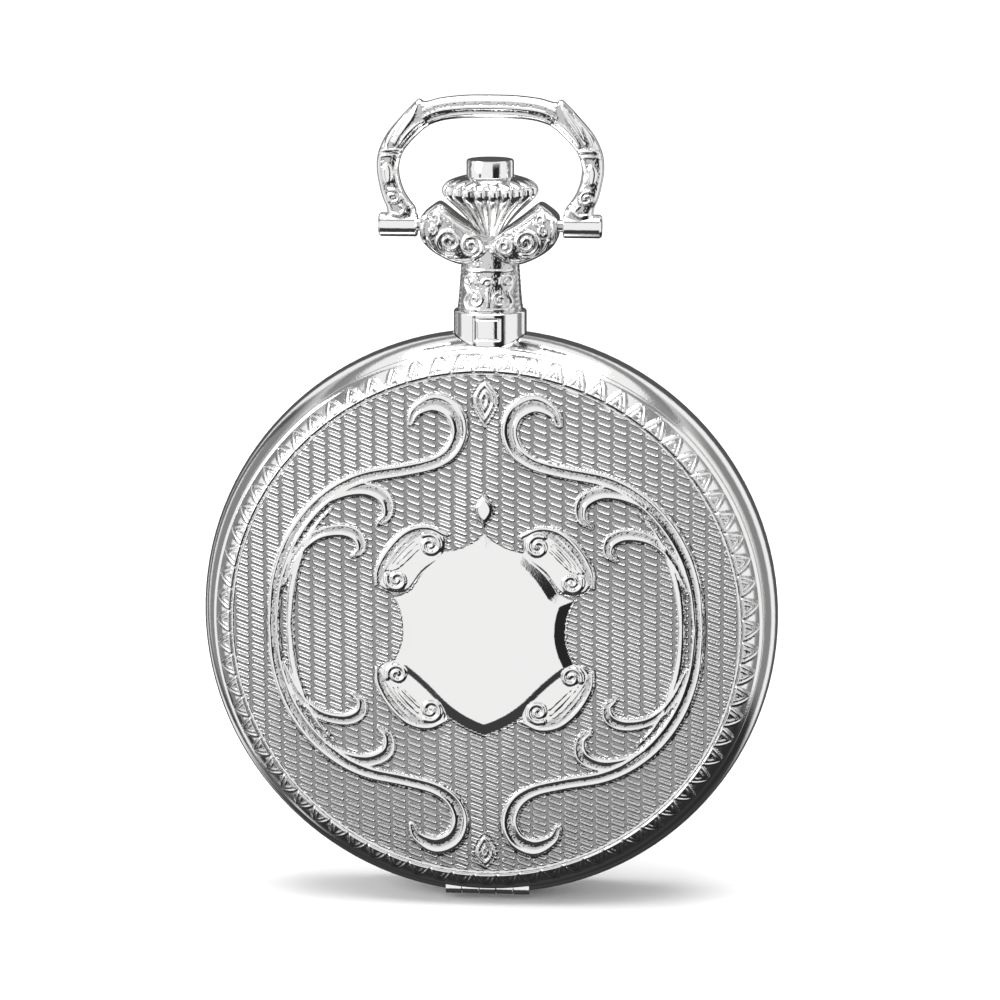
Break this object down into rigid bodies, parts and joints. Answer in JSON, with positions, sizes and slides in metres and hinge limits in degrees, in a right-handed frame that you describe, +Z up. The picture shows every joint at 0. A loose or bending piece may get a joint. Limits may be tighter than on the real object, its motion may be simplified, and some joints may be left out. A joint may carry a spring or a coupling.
{
  "type": "hunter pocket watch",
  "caption": "Hunter pocket watch: round case with hinged embossed front and back covers, ornate bow and fluted push-button crown over a hand-wound lever movement.",
  "frame": {"origin": "centre of the flat on the back cover", "axes": "+Z up towards 12 o'clock and the bow, +X towards 3 o'clock, +Y out of the back, so the front cover faces -Y"},
  "size_m": [0.048, 0.0124, 0.0674],
  "materials": {
    "case_silver": "polished sterling silver, plated against tarnish",
    "steel": "polished and grained steel",
    "brass": "gilded brass",
    "plate": "nickel-plated brass with a striped finish",
    "glass": "clear mineral glass",
    "dial_enamel": "white enamel",
    "blued_steel": "heat-blued steel",
    "ruby": "polished synthetic ruby"
  },
  "bodies": {
    "case": {"case_middle": "case_silver", "pendant": "case_silver", "pendant_sleeve": "steel", "front_hinge_pin": "steel", "back_hinge_pin": "steel", "bezel": "case_silver", "crystal": "glass", "dust_cover": "case_silver", "dust_cover_glass": "glass", "left_bow_screw": "steel", "right_bow_screw": "steel", "dial": "dial_enamel", "main_plate": "plate", "barrel_bridge": "plate", "train_bridge": "plate", "balance_cock": "plate", "pallet_bridge": "plate", "movement_ring": "plate", "bridge_screws": "steel", "crown_wheel_screws": "steel", "ring_jewels": "ruby"},
    "front_cover": {"front_cover": "case_silver"},
    "back_cover": {"back_cover": "case_silver"},
    "bow": {"bow": "case_silver"},
    "winding_pinion": {"winding_pinion": "steel"},
    "clutch": {"clutch_wheel": "steel"},
    "crown": {"crown": "case_silver", "winding_stem": "steel", "button_spring": "steel"},
    "button": {"crown_button": "case_silver", "cross_pin": "steel", "push_collar": "steel"},
    "latch": {"cover_latch": "steel"},
    "crown_wheel": {"crown_wheel": "steel"},
    "ratchet": {"ratchet_wheel": "steel", "barrel_arbor": "steel"},
    "click": {"click": "steel"},
    "barrel": {"mainspring_barrel": "brass", "barrel_lid": "brass", "mainspring": "steel"},
    "centre_wheel": {"centre_wheel": "brass", "centre_arbor": "steel"},
    "third_wheel": {"third_wheel": "brass", "third_arbor": "steel"},
    "fourth_wheel": {"fourth_wheel": "brass", "fourth_arbor": "steel", "second_hand": "blued_steel"},
    "escape_wheel": {"escape_wheel": "steel", "escape_arbor": "steel"},
    "pallet_fork": {"pallet_fork": "steel"},
    "balance": {"balance_wheel": "brass", "balance_staff": "steel", "hairspring": "blued_steel", "hairspring_collet": "brass"},
    "minute_hand": {"cannon_pinion": "steel", "minute_hand": "blued_steel"},
    "minute_wheel": {"minute_wheel": "brass"},
    "hour_hand": {"hour_wheel": "brass", "hour_hand": "blued_steel"},
    "setting_wheel": {"setting_wheel": "steel"}
  },
  "joints": [
    {"name": "front_cover_hinge", "type": "hinge", "parent": "case", "child": "front_cover", "pos_m": [0, -0.0087, -0.02295], "axis": [1, 0, 0], "range_deg": [0, 83]},
    {"name": "back_cover_hinge", "type": "hinge", "parent": "case", "child": "back_cover", "pos_m": [0, -0.0037, -0.02295], "axis": [-1, 0, 0], "range_deg": [0, 83]},
    {"name": "bow_swing", "type": "hinge", "parent": "case", "child": "bow", "pos_m": [0, -0.0062, 0.0326], "axis": [1, 0, 0], "range_deg": [-115, 115]},
    {"name": "crown_turn", "type": "hinge", "parent": "case", "child": "winding_pinion", "pos_m": [0, -0.0062, 0.01506], "axis": [0, 0, 1], "continuous": true},
    {"name": "crown_pull", "type": "slide", "parent": "winding_pinion", "child": "crown", "axis": [0, 0, 1], "range_m": [0, 0.001]},
    {"name": "button_press", "type": "slide", "parent": "crown", "child": "button", "axis": [0, 0, -1], "range_m": [0, 0.0005], "stiffness_N_per_m": 1500, "springref_m": -0.0008, "deforming": ["button_spring"]},
    {"name": "clutch_slide", "type": "slide", "parent": "winding_pinion", "child": "clutch", "axis": [0, 0, -1], "range_m": [0, 0.0007]},
    {"name": "latch_slide", "type": "slide", "parent": "case", "child": "latch", "axis": [0, 0, -1], "range_m": [0, 0.0004]},
    {"name": "crown_wheel_turn", "type": "hinge", "parent": "case", "child": "crown_wheel", "pos_m": [0, -0.0043, 0.01125], "axis": [0, 1, 0], "continuous": true},
    {"name": "ratchet_turn", "type": "hinge", "parent": "case", "child": "ratchet", "pos_m": [-0.00689, -0.0062, 0.00579], "axis": [0, 1, 0], "continuous": true},
    {"name": "click_pivot", "type": "hinge", "parent": "case", "child": "click", "pos_m": [-0.01189, -0.0043, 0.01039], "axis": [0, 1, 0], "range_deg": [0, 8]},
    {"name": "seconds_turn", "type": "hinge", "parent": "case", "child": "fourth_wheel", "pos_m": [0, -0.0062, -0.0085], "axis": [0, 1, 0], "continuous": true},
    {"name": "centre_wheel_turn", "type": "hinge", "parent": "case", "child": "centre_wheel", "pos_m": [0, -0.0062, 0], "axis": [0, 1, 0], "continuous": true},
    {"name": "third_wheel_turn", "type": "hinge", "parent": "case", "child": "third_wheel", "pos_m": [0.00438, -0.0062, -0.00513], "axis": [0, 1, 0], "continuous": true},
    {"name": "barrel_turn", "type": "hinge", "parent": "case", "child": "barrel", "pos_m": [-0.00689, -0.0062, 0.00579], "axis": [0, 1, 0], "continuous": true},
    {"name": "escape_wheel_turn", "type": "hinge", "parent": "case", "child": "escape_wheel", "pos_m": [-0.00477, -0.0062, -0.01019], "axis": [0, 1, 0], "continuous": true},
    {"name": "pallet_fork_rock", "type": "hinge", "parent": "case", "child": "pallet_fork", "pos_m": [-0.00683, -0.0062, -0.00852], "axis": [0, 1, 0], "range_deg": [-4, 4]},
    {"name": "balance_swing", "type": "hinge", "parent": "case", "child": "balance", "pos_m": [-0.0102, -0.0062, -0.00579], "axis": [0, 1, 0], "range_deg": [-270, 270]},
    {"name": "minute_hand_turn", "type": "hinge", "parent": "case", "child": "minute_hand", "pos_m": [0, -0.009, 0], "axis": [0, 1, 0], "continuous": true},
    {"name": "minute_wheel_turn", "type": "hinge", "parent": "case", "child": "minute_wheel", "pos_m": [0, -0.0085, 0.00384], "axis": [0, 1, 0], "continuous": true},
    {"name": "hour_hand_turn", "type": "hinge", "parent": "case", "child": "hour_hand", "pos_m": [0, -0.009, 0], "axis": [0, 1, 0], "continuous": true},
    {"name": "setting_wheel_turn", "type": "hinge", "parent": "case", "child": "setting_wheel", "pos_m": [0, -0.008, 0.00928], "axis": [0, 1, 0], "continuous": true}
  ],
  "couplings": [
    {"joint": "clutch_slide", "follows": "crown_pull", "ratio": 0.7},
    {"joint": "latch_slide", "follows": "button_press", "ratio": 0.8},
    {"joint": "crown_wheel_turn", "follows": "crown_turn", "ratio": -0.42105},
    {"joint": "ratchet_turn", "follows": "crown_turn", "ratio": 0.32},
    {"joint": "centre_wheel_turn", "follows": "seconds_turn", "ratio": 0.016667},
    {"joint": "third_wheel_turn", "follows": "seconds_turn", "ratio": -0.13333},
    {"joint": "barrel_turn", "follows": "seconds_turn", "ratio": -0.0025641},
    {"joint": "escape_wheel_turn", "follows": "seconds_turn", "ratio": -10},
    {"joint": "minute_wheel_turn", "follows": "minute_hand_turn", "ratio": -0.33333},
    {"joint": "hour_hand_turn", "follows": "minute_hand_turn", "ratio": 0.083333},
    {"joint": "setting_wheel_turn", "follows": "minute_hand_turn", "ratio": 0.375}
  ]
}
